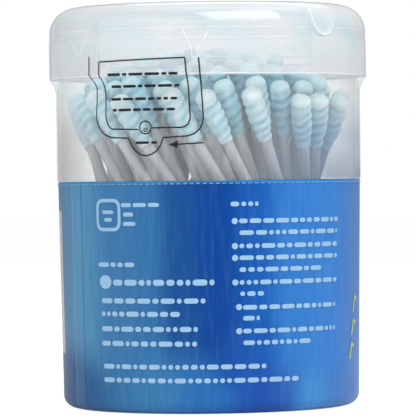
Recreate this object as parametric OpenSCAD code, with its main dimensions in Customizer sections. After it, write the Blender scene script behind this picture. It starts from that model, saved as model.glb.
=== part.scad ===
// Round clear tub of cotton swabs with a deep press-on lid, a push-open dispensing
// hatch in the lid, and a shrunk film sleeve that parts at a tear line.
// Millimetres, +Z up. The origin is the centre of the foot, and the front faces -Y.

/* [Tub] */
// Outside diameter of the tub's side at the top
tub_d = 66.4; // [66:0.1:74]
// Outside diameter of the tub's side at its foot
tub_foot_d = 64.9; // [64.6:0.1:66]
// Height from the table to the tub's rim
tub_h = 75.9; // [75:0.1:79]
// Thickness of the tub's side
tub_wall = 0.8; // [0.7:0.05:1]
// Thickness of the tub's floor
floor_t = 1.2; // [0.8:0.1:1.6]
// Height of the floor's underside over the table
foot_h = 1.4; // [1:0.1:2]
// Width of the ring that the tub stands on
foot_w = 1.8; // [1.2:0.1:3]
// Radius of the tub's bottom corner
foot_round = 2.5; // [1.5:0.1:3]
// Height at which the side stops widening
taper_top = 52; // [45:1:60]

/* [Lid] */
// How far the lid's side stands out past the tub's side
lid_step = 1.6; // [1.5:0.05:2.2]
// Height of the lid from its lower edge to its top
lid_h = 15.7; // [15:0.1:18]
// How far the lid reaches down over the tub's rim
lid_overlap = 3.9; // [3.5:0.1:5]
// Thickness of the lid
lid_wall = 1.1; // [0.9:0.05:1.2]
// Radius of the lid's shoulder
lid_round = 5.7; // [5:0.1:6.5]
// Running clearance between the lid's bead and the tub's bead
lid_fit = 0.15; // [0.1:0.01:0.2]

/* [Hatch] */
// Direction of the push tab, turned from +X
hatch_turn = -44; // [-90:1:0]
// Width of the hatch
hatch_w = 22.5; // [20:0.1:24]
// Distance of the hinge line from the lid's centre
hinge_u = 1; // [0:0.1:3]
// Distance of the hatch's free edge from the lid's centre
hatch_end = 26; // [25:0.1:26.5]
// Radius of the two corners at the hatch's free edge
hatch_round = 3.6; // [3:0.1:5]
// Width of the push tab
tab_w = 6.7; // [6:0.1:9]
// Height of the push tab's tip below the lid's top
tab_drop = 7.3; // [6.8:0.1:7.4]
// Clearance round the hatch
hatch_gap = 0.15; // [0.1:0.01:0.2]
// Width of the ledge that the hatch's sides rest on
ledge_w = 2.4; // [1.5:0.1:3.5]
// Length of the outlet along the hatch
outlet_l = 15.2; // [12:0.1:18]
// Width of the ledge under the hatch's free edge
ledge_end = 1.8; // [1.5:0.1:2.2]
// Diameter of the round notch in the ledge
notch_d = 2.7; // [2.2:0.1:3.2]

/* [Film] */
// Thickness of the shrunk film
film_t = 0.15; // [0.12:0.01:0.2]
// Height of the tear line between the two lengths of film
tear_z = 49.6; // [40:0.1:60]
// Distance from the lid's top down to the film's upper edge
film_drop = 7.7; // [7.5:0.1:9]
// Clearance of the upper film round the tub
film_gap = 0.15; // [0.1:0.01:0.2]
// Height over which the upper film draws in from the lid to the tub
draw_h = 4; // [3:0.1:8]
// Width of the seam where the film's edges overlap
seam_w = 4; // [2:0.1:6]
// Direction of the seam, turned from +X
seam_turn = -153; // [-180:1:180]

/* [Swabs] */
// Length of a swab
swab_l = 76; // [74:0.1:78]
// Diameter of the paper stick
stick_d = 2.4; // [2:0.1:2.6]
// Largest diameter of a cotton head
head_d = 4.6; // [4.2:0.1:4.8]
// Length of a cotton head
head_l = 12.5; // [12:0.1:15]
// Diameter of a cotton head where it ends on the stick
head_neck_d = 3.3; // [3:0.1:3.6]
// Length of a cotton head that keeps its largest diameter
head_full = 7.2; // [6:0.1:8]
// Number of ridges wound into a cotton head
head_ribs = 5; // [4:1:7]
// Depth of the groove between two ridges
rib_depth = 0.22; // [0.1:0.01:0.3]
// Lean of the outermost swabs, in degrees
outer_lean = 32; // [26:0.5:33]
// Share of the room round each inner ring of swabs that is filled
fill = 0.86; // [0.7:0.01:0.88]
// Share of the room round the outermost ring that is filled
outer_fill = 0.6; // [0.5:0.01:0.88]
// Least clearance between two swabs in a ring
swab_gap = 0.15; // [0.1:0.01:0.3]
// How much higher than the floor a swab may be held by its neighbours
swab_lift = 1.5; // [0:0.1:1.5]

/* [Hidden] */
$fn = 96;
GROUPS = 6;

// Radii and heights of the tub
tub_r = tub_d / 2;
foot_r = tub_foot_d / 2;
inside_r = tub_r - tub_wall;
floor_z = foot_h + floor_t;
neck_cut = 0.25;
neck_r = tub_r - neck_cut;
neck_drop = 0.6;
neck_slope = 0.4;
bead_h = 0.9;
bead_face = 0.2;
bead_drop = 1.1;
rim_round = 0.2;
inner_round = foot_round - tub_wall;
film_off = 0.08;
corner_z = foot_round + film_t + film_off;
foot_out = foot_r - foot_round - 0.2;
foot_slope = 0.3;

// Radii and heights of the lid
lid_r = tub_r + lid_step;
lid_z = tub_h - lid_overlap;
lid_top = lid_z + lid_h;
lid_in_r = lid_r - lid_wall;
snap_r = tub_r + lid_fit;
snap_z = lid_z + 0.8;
snap_h = 1;
snap_slope = 0.4;
edge_cut = 0.25;

// The hatch, its recess and the outlet under it
seat_gap = 0.15;
tray_wall = 1.1;
tray_floor = 0.8;
pocket_z = lid_top - lid_wall - seat_gap;
tab_tip_z = lid_top - tab_drop;
tab_start = lid_r - lid_round - 0.9;
outlet_w = hatch_w - 2 * ledge_w;
outlet_round = 1.9;
outlet_end = hatch_end - ledge_end;
notch_u = outlet_end - 0.2 * notch_d;
catch_d = notch_d - 0.5;
catch_h = seat_gap + tray_floor;
groove = 0.6;

// Film
film_seat = 0.02;
film_in = tub_r + film_gap;
film_top = lid_top - film_drop;
film_lap = -80;
seam_t = 0.1;
draw_steps = 8;
draw_power = 2.75;

// Swabs: every stick follows one twisting field of lines, so no two can meet
head_r = head_d / 2;
head_cover = 1.8;
bore_fit = 0.03;
dome_end_angle = -18;
floor_gap = 0.1;
waist_up = 33;
waist_z = floor_z + waist_up;
tip_z = floor_z + floor_gap + head_r;
reach = waist_z - tip_z;
foot_in_r = foot_r - tub_wall;
tip_r = foot_in_r - head_r - swab_gap;
outer_r = sqrt(pow(tip_r, 2) - pow(reach * tan(outer_lean), 2));
twist = tan(outer_lean) / outer_r;
function lean(r) = atan(twist * r);
// Height over or under the waist at which a head first has its full width
function full_h(r) = let (c = cos(lean(r)))
  min(waist_z - tip_z - (head_full - head_r) * c,
      tip_z - head_r + (swab_l - head_full) * c - waist_z);
// How far two sticks have spread there, measured square to them
function spread(r) = let (t = twist * full_h(r))
  sqrt(1 + t * t) * sqrt(1 - pow(cos(atan(t)) * sin(lean(r)), 2));
function spread_out(r) = let (t = twist * full_h(r))
  sqrt(1 + t * t) * sqrt(1 - pow(sin(atan(t)) * sin(lean(r)), 2));
rings = floor(outer_r * spread_out(outer_r) / head_d + 0.5);
pitch = outer_r / (rings - 0.5);
core_least = 2.2;
core_count = 3;
core_r = max(pitch / 2, core_least);
function ring_r(k) = k == 1 ? core_r : (k - 0.5) * pitch;
function ring_fill(k) = k == rings ? outer_fill : fill;
function ring_n(k) = k == 1 ? core_count :
  floor(2 * PI * ring_r(k) * spread(ring_r(k)) * ring_fill(k) / (head_d + swab_gap));
// Swabs stand unevenly round a ring, within the room that is left, and unevenly high
ring_angle = 20.5;
golden_angle = 137.5;
uneven_angle = 45;
lift_angle = 55;
lift_phase_angle = 48;
function swab_turn(k, i) = let (t = 360 * i / ring_n(k)) k == 1 ? t :
  t + ring_angle * k + 180 * (1 - ring_fill(k)) / ring_n(k) * sin(golden_angle * i + uneven_angle * k);
function swab_up(k, i) = k < 3 ? 0 : swab_lift * (0.5 + 0.5 * sin(lift_angle * i * i + lift_phase_angle * k));
SWABS = [for (k = [1:rings]) for (i = [0:ring_n(k) - 1])
  [ring_r(k), swab_turn(k, i), swab_up(k, i)]];
function group_of(g) = let (n = len(SWABS))
  [for (j = [floor(n * (g - 1) / GROUPS):floor(n * g / GROUPS) - 1]) SWABS[j]];

// Points of an arc about a centre, from one angle to another
function arc(centre, r, from, to, steps) =
  [for (s = [0:steps]) let (a = from + (to - from) * s / steps)
    [centre[0] + r * cos(a), centre[1] + r * sin(a)]];

// Tub: foot ring, raised floor, tapered side, straight neck and a snap bead
module tub() {
  bead_z = tub_h - bead_drop;
  color([0.86, 0.92, 0.93, 0.4]) rotate_extrude() polygon(concat(
    [[0, foot_h], [foot_out - foot_w - foot_slope, foot_h], [foot_out - foot_w, 0], [foot_out, 0]],
    arc([foot_r - foot_round, corner_z], foot_round, -90, 0, 6),
    [[tub_r, taper_top], [tub_r, lid_z - neck_drop - neck_slope], [neck_r, lid_z - neck_drop]],
    [[neck_r, bead_z - bead_h], [tub_r, bead_z - (bead_h + bead_face) / 2],
     [tub_r, bead_z - (bead_h - bead_face) / 2], [neck_r, bead_z]],
    [[neck_r, tub_h - rim_round], [neck_r - rim_round, tub_h], [inside_r, tub_h]],
    [[inside_r, taper_top]],
    arc([foot_in_r - inner_round, floor_z + inner_round], inner_round, 0, -90, 4),
    [[0, floor_z]]
  ));
}

// Solid form of the lid's outside or inside: a straight side and a rounded shoulder
module cap_form(r, top, bottom, round) {
  rotate_extrude() union() {
    translate([0, bottom]) square([r, top - round - bottom]);
    translate([0, bottom]) square([r - round, top - bottom]);
    translate([r - round, top - round]) intersection() {
      circle(round);
      translate([-round, -round / 2]) square(2 * round);
    }
  }
}

module lid_shell() {
  difference() {
    cap_form(lid_r, lid_top, lid_z, lid_round);
    cap_form(lid_in_r, lid_top - lid_wall, lid_z - 1, lid_round - lid_wall);
  }
}

// Plan of the hatch without its tab: straight at the hinge, two round corners at its free edge
module hatch_plan(grow, hinge_grow) {
  start = hinge_u - hinge_grow;
  half = hatch_w / 2;
  translate([start, -half - grow])
    square([hatch_end - hatch_round - start, hatch_w + 2 * grow]);
  translate([start, -half + hatch_round])
    square([hatch_end + grow - start, hatch_w - 2 * hatch_round]);
  for (side = [-1, 1])
    translate([hatch_end - hatch_round, side * (half - hatch_round)]) circle(hatch_round + grow);
}

// Space of the hatch: its plan, and the tab that runs out over the shoulder to a round tip
module hatch_space(grow, hinge_grow, bottom) {
  translate([0, 0, bottom]) linear_extrude(lid_top + 1 - bottom) {
    hatch_plan(grow, hinge_grow);
    translate([hatch_end - 1, -tab_w / 2 - grow]) square([lid_r - hatch_end + 2, tab_w + 2 * grow]);
  }
  translate([tab_start, 0, 0]) rotate([90, 0, 90]) linear_extrude(lid_r - tab_start + 1) {
    translate([0, tab_tip_z + tab_w / 2]) circle(tab_w / 2 + grow);
    translate([-tab_w / 2 - grow, tab_tip_z + tab_w / 2])
      square([tab_w + 2 * grow, lid_top + 1 - tab_tip_z - tab_w / 2]);
  }
}

// Outlet through the ledge, with the round notch for the catch
module outlet_plan() {
  half = outlet_w / 2;
  start = outlet_end - outlet_l;
  translate([start, -half]) square([outlet_l - outlet_round, outlet_w]);
  translate([start, -half + outlet_round]) square([outlet_l, outlet_w - 2 * outlet_round]);
  for (side = [-1, 1])
    translate([outlet_end - outlet_round, side * (half - outlet_round)]) circle(outlet_round);
  translate([notch_u, 0]) circle(notch_d / 2);
}

// Lid: shell with a snap bead, and a recessed ledge that frames the outlet under the hatch
module lid() {
  color([0.84, 0.89, 0.91, 0.5]) difference() {
    union() {
      lid_shell();
      rotate([0, 0, hatch_turn]) translate([0, 0, pocket_z - tray_floor])
        linear_extrude(lid_wall + seat_gap + tray_floor - lid_wall / 2)
          hatch_plan(hatch_gap + tray_wall, tray_wall);
      rotate_extrude() polygon([
        [lid_in_r + lid_wall / 2, snap_z], [lid_in_r, snap_z], [snap_r, snap_z + snap_slope],
        [snap_r, snap_z + snap_h - snap_slope], [lid_in_r, snap_z + snap_h],
        [lid_in_r + lid_wall / 2, snap_z + snap_h]
      ]);
    }
    rotate([0, 0, hatch_turn]) hatch_space(hatch_gap, 0, pocket_z);
    rotate([0, 0, hatch_turn]) translate([0, 0, pocket_z - tray_floor - 1])
      linear_extrude(tray_floor + 2) outlet_plan();
    rotate_extrude() polygon([
      [lid_r - edge_cut, lid_z - 0.1], [lid_r + 1, lid_z - 0.1], [lid_r + 1, lid_z + edge_cut],
      [lid_r, lid_z + edge_cut], [lid_r - edge_cut, lid_z]
    ]);
  }
}

// Hatch: cut from the lid's own shell, so it lies flush, with a catch under its free edge.
// Its hinge edge is thinned from below, as a moulded hinge line is.
module hatch() {
  color([0.9, 0.94, 0.95, 0.6]) rotate([0, 0, hatch_turn]) {
    difference() {
      intersection() {
        lid_shell();
        hatch_space(0, -hatch_gap, lid_top - lid_wall - 0.5);
      }
      translate([hinge_u + hatch_gap, 0, lid_top - lid_wall]) rotate([0, 45, 0])
        cube([groove, hatch_w + 2, groove], center = true);
    }
    translate([notch_u, 0, lid_top - lid_wall - catch_h])
      cylinder(d = catch_d, h = catch_h + lid_wall / 2);
  }
}

// Radius of the upper film's inside at a height: round the tub, drawn in under the lid, round the lid
function draw_r(z) = let (t = (z - lid_z + draw_h) / draw_h)
  film_in + (lid_r + film_seat - film_in) * pow(max(0, min(1, t)), draw_power);

// Outside of the tub's tapered side at a height
function side_r(z) = foot_r + (tub_r - foot_r) * min(1, (z - corner_z) / (taper_top - corner_z));

// Lower length of film: printed, tight on the tub's side and turned in under its bottom corner
module printed_film() {
  inner = foot_round + film_seat;
  centre = [foot_r - foot_round, corner_z];
  edge_r = side_r(tear_z) + film_seat;
  color([0.1, 0.4, 0.75]) {
    rotate_extrude() polygon(concat(
      arc(centre, inner + film_t, film_lap, 0, 5),
      [[edge_r + film_t, tear_z], [edge_r, tear_z]],
      arc(centre, inner, 0, film_lap, 5)
    ));
    rotate([0, 0, seam_turn]) intersection() {
      rotate_extrude() polygon([
        [foot_r + film_seat + film_t / 2, corner_z], [foot_r + film_seat + film_t + seam_t, corner_z],
        [edge_r + film_t + seam_t, tear_z], [edge_r + film_t / 2, tear_z]
      ]);
      translate([foot_r / 2, -seam_w / 2, 0]) cube([foot_r, seam_w, tear_z + 1]);
    }
  }
}

// Upper length of film: clear, riding on the lid and reaching down the tub to the tear line
module clear_film() {
  heights = [for (s = [0:draw_steps]) lid_z - draw_h + draw_h * s / draw_steps];
  seam_z = lid_z - draw_h;
  color([0.9, 0.94, 0.95, 0.3]) {
    rotate_extrude() polygon(concat(
      [[film_in, tear_z + film_t]],
      [for (z = heights) [draw_r(z), z]],
      [[lid_r + film_seat, film_top], [lid_r + film_seat + film_t, film_top]],
      [for (s = [draw_steps:-1:0]) [draw_r(heights[s]) + film_t, heights[s]]],
      [[film_in + film_t, tear_z + film_t]]
    ));
    rotate([0, 0, seam_turn]) intersection() {
      rotate_extrude() translate([film_in + film_t / 2, tear_z + film_t])
        square([film_t / 2 + seam_t, seam_z - tear_z - film_t]);
      translate([foot_r / 2, -seam_w / 2, 0]) cube([foot_r, seam_w, tub_h]);
    }
  }
}

// Profile of a cotton head from its tip at 0: a domed end, then ridges that narrow to the neck
function head_env(s) = s < head_full ? head_r :
  head_r - (head_r - head_neck_d / 2) * (s - head_full) / (head_l - head_full);
module cotton_head() {
  step = (head_l - head_r - 0.6) / head_ribs;
  bore = stick_d / 2 + bore_fit;
  rotate_extrude($fn = 32) polygon(concat(
    arc([0, head_r], head_r, -90, dome_end_angle, 4),
    [for (j = [0:head_ribs - 1]) for (part = [0, 1])
      let (s = head_r + step * (j + 0.5 * part + 0.25))
        [head_env(s) - (part == 0 ? rib_depth : 0), s]],
    [[head_neck_d / 2, head_l], [bore, head_l], [bore, head_cover - bore_fit], [0, head_cover - bore_fit]]
  ));
}

// Puts a swab's own line, with its lower tip at 0, where the swab stands
module stand(swab) {
  tilt = lean(swab[0]);
  along = (tip_z + swab[2] - waist_z) / cos(tilt) - head_r;
  rotate([0, 0, swab[1]]) translate([swab[0], 0, waist_z]) rotate([0, tilt, -90])
    translate([0, 0, along]) children();
}

// Paper sticks of one group of swabs
module swab_sticks(g) {
  color("white") for (swab = group_of(g))
    stand(swab) translate([0, 0, head_cover]) cylinder(d = stick_d, h = swab_l - 2 * head_cover, $fn = 32);
}

// Cotton heads at the upper ends of one group of swabs
module swab_top_heads(g) {
  color([0.8, 0.93, 0.94]) for (swab = group_of(g))
    stand(swab) translate([0, 0, swab_l]) mirror([0, 0, 1]) cotton_head();
}

// Cotton heads at the lower ends of one group of swabs
module swab_base_heads(g) {
  color([0.8, 0.93, 0.94]) for (swab = group_of(g)) stand(swab) cotton_head();
}

tub();
printed_film();
lid();
clear_film();
hatch();
for (g = [1:GROUPS]) {
  swab_sticks(g);
  swab_top_heads(g);
  swab_base_heads(g);
}
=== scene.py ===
# Cotton swab tub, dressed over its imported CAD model: milky lid, clear tub, shrunk film in two
# lengths, generic print, and swabs with rolled paper sticks and wound cotton heads.
import math
import random
import bmesh
import bpy
import numpy as np
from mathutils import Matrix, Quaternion, Vector, noise


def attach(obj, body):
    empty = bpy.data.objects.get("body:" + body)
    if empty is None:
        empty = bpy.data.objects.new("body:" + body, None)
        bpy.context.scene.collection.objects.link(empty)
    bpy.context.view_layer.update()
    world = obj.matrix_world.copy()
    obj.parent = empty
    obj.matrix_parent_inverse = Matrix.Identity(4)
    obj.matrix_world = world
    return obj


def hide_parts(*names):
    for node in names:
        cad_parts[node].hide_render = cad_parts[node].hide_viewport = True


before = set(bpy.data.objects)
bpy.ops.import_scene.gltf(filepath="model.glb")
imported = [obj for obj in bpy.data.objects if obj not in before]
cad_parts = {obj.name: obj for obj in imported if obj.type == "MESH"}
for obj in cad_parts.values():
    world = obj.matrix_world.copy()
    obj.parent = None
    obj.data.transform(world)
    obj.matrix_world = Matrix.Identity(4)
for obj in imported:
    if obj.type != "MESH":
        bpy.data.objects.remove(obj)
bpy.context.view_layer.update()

# Tub, lid and hatch: moulded pieces that keep their CAD shapes. The tub is clear, with a brighter
# rim. The lid and hatch are slightly milky and veil what stands behind them. Painted aqua clouds on
# the lid stand for the cotton seen through it. Their edges carry painted light: a painted grey shade
# line round the top's edge, a painted highlight line where the shoulder starts, and a painted
# highlight rim round the push tab's tip.
TUB_CLEAR, MILKY = (236, 241, 243), (236, 240, 243)
MILKY_PLAIN, MILKY_SEEN_COTTON = (233, 235, 238), (208, 231, 236)
PAINTED_EDGE_SHADE, TAB_RIM_HIGHLIGHT = (166, 172, 178), (252, 252, 253)
TUB_COVER, MILKY_COVER, COVER_POWER = (0.05, 0.5), (0.3, 0.8), 2.5
SEEN_COTTON_FOOT, SEEN_COTTON_TOP = 74, 87
SHOULDER, TOP_EDGE_R = 0.0057, 0.0275
HATCH_TURN, TAB_W, TAB_DROP, TAB_START = math.radians(-44), 6.7, 7.3, 0.0262

# Two shader groups that several materials share. One makes an uneven height for bumps, the other
# the cover of a clear sheet, which rises where the sheet is seen edge on.
uneven = bpy.data.node_groups.new("Uneven height", "ShaderNodeTree")
for name, value in (("Coarse", 120), ("Fine", 1500), ("Fine share", 0.3)):
    socket = uneven.interface.new_socket(name=name, in_out="INPUT", socket_type="NodeSocketFloat")
    socket.default_value = value
uneven.interface.new_socket(name="Height", in_out="OUTPUT", socket_type="NodeSocketFloat")
given = uneven.nodes.new("NodeGroupInput")
given_out = uneven.nodes.new("NodeGroupOutput")
place = uneven.nodes.new("ShaderNodeTexCoord")
coarse = uneven.nodes.new("ShaderNodeTexNoise")
fine = uneven.nodes.new("ShaderNodeTexNoise")
blend = uneven.nodes.new("ShaderNodeMix")
uneven.links.new(place.outputs["Object"], coarse.inputs["Vector"])
uneven.links.new(place.outputs["Object"], fine.inputs["Vector"])
uneven.links.new(given.outputs["Coarse"], coarse.inputs["Scale"])
uneven.links.new(given.outputs["Fine"], fine.inputs["Scale"])
uneven.links.new(given.outputs["Fine share"], blend.inputs["Factor"])
uneven.links.new(coarse.outputs["Fac"], blend.inputs["A"])
uneven.links.new(fine.outputs["Fac"], blend.inputs["B"])
uneven.links.new(blend.outputs["Result"], given_out.inputs["Height"])

cover = bpy.data.node_groups.new("Sheet cover", "ShaderNodeTree")
for name, value in (("Face on", 0.1), ("Edge on", 0.6)):
    socket = cover.interface.new_socket(name=name, in_out="INPUT", socket_type="NodeSocketFloat")
    socket.default_value = value
cover.interface.new_socket(name="Alpha", in_out="OUTPUT", socket_type="NodeSocketFloat")
given = cover.nodes.new("NodeGroupInput")
given_out = cover.nodes.new("NodeGroupOutput")
facing = cover.nodes.new("ShaderNodeLayerWeight")
steep = cover.nodes.new("ShaderNodeMath")
steep.operation = "POWER"
steep.inputs[1].default_value = COVER_POWER
blend = cover.nodes.new("ShaderNodeMix")
cover.links.new(facing.outputs["Facing"], steep.inputs[0])
cover.links.new(steep.outputs[0], blend.inputs["Factor"])
cover.links.new(given.outputs["Face on"], blend.inputs["A"])
cover.links.new(given.outputs["Edge on"], blend.inputs["B"])
cover.links.new(blend.outputs["Result"], given_out.inputs["Alpha"])


def linear(r, g, b):
    """A colour from its 0-255 screen values."""
    return tuple((c / 255 / 12.92) if c < 10 else ((c / 255 + 0.055) / 1.055) ** 2.4 for c in (r, g, b))


def finish_of(name, colour, roughness, **sockets):
    """A Principled material with its constants on the shader's own sockets: (material, tree, shader)."""
    made = bpy.data.materials.new(name)
    made.use_nodes = True
    shader = made.node_tree.nodes["Principled BSDF"]
    shader.inputs["Base Color"].default_value = (*linear(*colour), 1)
    shader.inputs["Roughness"].default_value = roughness
    for socket, value in sockets.items():
        shader.inputs[socket.replace("_", " ")].default_value = value
    return made, made.node_tree, shader


def add_bump(tree, shader, strength, distance, **sizes):
    """Bumps the shader with the shared uneven height."""
    height = tree.nodes.new("ShaderNodeGroup")
    height.node_tree = uneven
    for socket, value in sizes.items():
        height.inputs[socket.replace("_", " ")].default_value = value
    bump = tree.nodes.new("ShaderNodeBump")
    bump.inputs["Strength"].default_value = strength
    bump.inputs["Distance"].default_value = distance
    tree.links.new(height.outputs["Height"], bump.inputs["Height"])
    tree.links.new(bump.outputs["Normal"], shader.inputs["Normal"])


def math_of(tree, operation, *values, clamp=False):
    """A Math node on sockets or numbers, and its output."""
    node = tree.nodes.new("ShaderNodeMath")
    node.operation = operation
    node.use_clamp = clamp
    for socket, value in zip(node.inputs, values):
        if isinstance(value, bpy.types.NodeSocket):
            tree.links.new(value, socket)
        else:
            socket.default_value = value
    return node.outputs[0]


def mix_of(tree, factor, a, b):
    """A colour mix of sockets or screen colours, and its output."""
    node = tree.nodes.new("ShaderNodeMix")
    node.data_type = "RGBA"
    tree.links.new(factor, node.inputs["Factor"])
    for socket, value in ((node.inputs[6], a), (node.inputs[7], b)):
        if isinstance(value, bpy.types.NodeSocket):
            tree.links.new(value, socket)
        else:
            socket.default_value = (*linear(*value), 1)
    return node.outputs[2]


def past(tree, value, start, gain, clamp=True):
    """How far a value lies past a start, times a gain."""
    return math_of(tree, "MULTIPLY", math_of(tree, "SUBTRACT", value, start), gain, clamp=clamp)


def between(tree, value, low, high, soft):
    """1 where a value lies between two others, with soft ends."""
    rise = math_of(tree, "DIVIDE", math_of(tree, "SUBTRACT", value, low), soft, clamp=True)
    fall = math_of(tree, "DIVIDE", math_of(tree, "SUBTRACT", high, value), soft, clamp=True)
    return math_of(tree, "MULTIPLY", rise, fall)


def reach_of(tree, a, b):
    """Distance from the middle, from how far a point lies along two axes."""
    squares = math_of(tree, "ADD", math_of(tree, "POWER", a, 2), math_of(tree, "POWER", b, 2))
    return math_of(tree, "SQRT", squares)


def noise_of(tree, scale, detail, vector=None, stretch=None):
    """A noise value on Object coordinates or on a given vector, which may be stretched."""
    cloud = tree.nodes.new("ShaderNodeTexNoise")
    cloud.inputs["Scale"].default_value = scale
    cloud.inputs["Detail"].default_value = detail
    if vector is None:
        vector = tree.nodes.new("ShaderNodeTexCoord").outputs["Object"]
    if stretch:
        mapping = tree.nodes.new("ShaderNodeMapping")
        mapping.inputs["Scale"].default_value = stretch
        tree.links.new(vector, mapping.inputs["Vector"])
        vector = mapping.outputs["Vector"]
    tree.links.new(vector, cloud.inputs["Vector"])
    return cloud.outputs["Fac"]


def add_cover(tree, shader, face_on, edge_on, *lines):
    """Lets light through the shader's sheet by the shared cover, and less where a line is."""
    sheet = tree.nodes.new("ShaderNodeGroup")
    sheet.node_tree = cover
    sheet.inputs["Face on"].default_value = face_on
    sheet.inputs["Edge on"].default_value = edge_on
    alpha = sheet.outputs["Alpha"]
    for line in lines:
        alpha = math_of(tree, "MAXIMUM", alpha, line)
    tree.links.new(alpha, shader.inputs["Alpha"])


def level_of(tree):
    """Height over the table in mm, from Object coordinates, with the X and Y sockets."""
    place = tree.nodes.new("ShaderNodeTexCoord")
    split = tree.nodes.new("ShaderNodeSeparateXYZ")
    tree.links.new(place.outputs["Object"], split.inputs[0])
    return math_of(tree, "MULTIPLY", split.outputs["Z"], 1000), split.outputs["X"], split.outputs["Y"]


def line_at(tree, level, middle, width, strength):
    """Strength of a thin soft line round the tub at a height."""
    line = between(tree, level, middle - width / 2, middle + width / 2, width / 3)
    return math_of(tree, "MULTIPLY", line, strength)


def span(node):
    """Lowest and highest corner of a CAD node."""
    corners = np.array([v.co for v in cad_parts[node].data.vertices])
    return corners.min(axis=0), corners.max(axis=0)


TUB_TOP, LID_EDGE, LID_TOP = span("tub")[1][2], span("lid")[0][2], span("lid")[1][2]


def milky_tone_with_painted_light(tree, level, x, y):
    """Colour of the milky plastic with painted light: faint painted aqua clouds that stand for the cotton
    seen through it, and a painted greyer shade line where the top turns into the shoulder."""
    clouds = past(tree, noise_of(tree, 130, 1), 0.4, 4)
    amount = math_of(tree, "MULTIPLY", clouds, between(tree, level, SEEN_COTTON_FOOT, SEEN_COTTON_TOP, 4))
    tone = mix_of(tree, amount, MILKY_PLAIN, MILKY_SEEN_COTTON)
    top = between(tree, level, LID_TOP * 1000 - 0.5, LID_TOP * 1000 + 0.4, 0.3)
    edge = math_of(tree, "MULTIPLY", top, math_of(tree, "GREATER_THAN", reach_of(tree, x, y), TOP_EDGE_R))
    return mix_of(tree, edge, tone, PAINTED_EDGE_SHADE)


def milky_finish(name):
    """A glossy milky material and what its lines need: (material, tree, shader, level, x, y)."""
    made, tree, shader = finish_of(name, MILKY, 0.07, Specular_IOR_Level=1.0)
    add_bump(tree, shader, 0.05, 0.0005, Coarse=60, Fine=1400, Fine_share=0.1)
    return (made, tree, shader, *level_of(tree))


clear_plastic, tree, shader = finish_of("clear moulded plastic", TUB_CLEAR, 0.12)
add_bump(tree, shader, 0.08, 0.0005, Coarse=60, Fine=900, Fine_share=0.1)
level, _, _ = level_of(tree)
add_cover(tree, shader, *TUB_COVER, line_at(tree, level, TUB_TOP * 1000 - 0.15, 0.5, 0.75))

milky_plastic, tree, shader, level, x, y = milky_finish("milky moulded plastic")
tree.links.new(milky_tone_with_painted_light(tree, level, x, y), shader.inputs["Base Color"])
# Its cover rises in a pale line at the lid's lower edge, and in a thin line of painted highlight where the
# shoulder starts.
add_cover(tree, shader, *MILKY_COVER, line_at(tree, level, LID_EDGE * 1000 + 0.2, 0.6, 0.85),
          line_at(tree, level, (LID_TOP - SHOULDER) * 1000, 0.3, 0.6))

# The hatch's push tab has a painted highlight: a bright rim round its tip, which hangs over the shoulder.
hatch_plastic, tree, shader, level, x, y = milky_finish("milky moulded hatch")
turn_cos, turn_sin = math.cos(HATCH_TURN), math.sin(HATCH_TURN)
along = math_of(tree, "ADD", math_of(tree, "MULTIPLY", x, turn_cos), math_of(tree, "MULTIPLY", y, turn_sin))
across = math_of(tree, "SUBTRACT", math_of(tree, "MULTIPLY", y, 1000 * turn_cos),
                 math_of(tree, "MULTIPLY", x, 1000 * turn_sin))
tip_centre = LID_TOP * 1000 - TAB_DROP + TAB_W / 2
below = math_of(tree, "MINIMUM", math_of(tree, "SUBTRACT", level, tip_centre), 0)
ring = between(tree, reach_of(tree, across, below), TAB_W / 2 - 0.6, TAB_W / 2 + 0.5, 0.5)
rim_highlight = math_of(tree, "MULTIPLY", ring, math_of(tree, "GREATER_THAN", along, TAB_START))
tree.links.new(mix_of(tree, rim_highlight, milky_tone_with_painted_light(tree, level, x, y), TAB_RIM_HIGHLIGHT), shader.inputs["Base Color"])
add_cover(tree, shader, *MILKY_COVER, math_of(tree, "MULTIPLY", rim_highlight, 0.6))
for node, material in (("tub", clear_plastic), ("lid", milky_plastic), ("hatch", hatch_plastic)):
    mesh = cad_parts[node].data
    mesh.materials.clear()
    mesh.materials.append(material)

# Clear upper film: it rides on the lid, draws in under the lid's edge in fine upright pleats and
# ends just above the tear line. Its top edge lies just under the push tab's tip. Its colour carries a
# painted warm reflection at its left, a painted cool reflection at its right, and a painted blue
# refraction of the printed film low on the far right.
TEAR, FILM_FOOT, FILM_TOP = span("printed_film")[1][2], span("clear_film")[0][2], span("clear_film")[1][2]
HALF_FILM, FILM_GAP, DRAW = 0.000075, 0.00015, 0.004
TUB_FILM, LID_FILM = span("tub")[1][0] + FILM_GAP + HALF_FILM, span("clear_film")[1][0] - HALF_FILM
PLEAT_Z, PLEAT_SPREAD, PLEAT_DEPTH, SLACK_LOW, SLACK_HIGH = 0.0695, 0.0022, 0.00011, 0.00005, 0.00004
FILM_CLEAR, FILM_WARM_REFLECTION, FILM_COOL_REFLECTION = (240, 245, 247), (218, 212, 206), (130, 160, 198)
FILM_BLUE_REFRACTION, REFRACTION_TOP, REFRACTION_FADE, REFLECTION_TOP, REFLECTION_FADE = (58, 104, 176), 60, 9, 68, 8
WARM_REFLECTION_SIDE, COOL_REFLECTION_SIDE, REFRACTION_SIDE = (-140, -38, 30), (2, 140, 40), (68, 140, 14)
FILM_COVER, REFRACTION_SHARE, WARM_REFLECTION_SHARE, COOL_REFLECTION_SHARE = (0.06, 0.5), 0.6, 0.42, 0.3
FILM_RINGS, SHEET_STEPS = 72, 384


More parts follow.
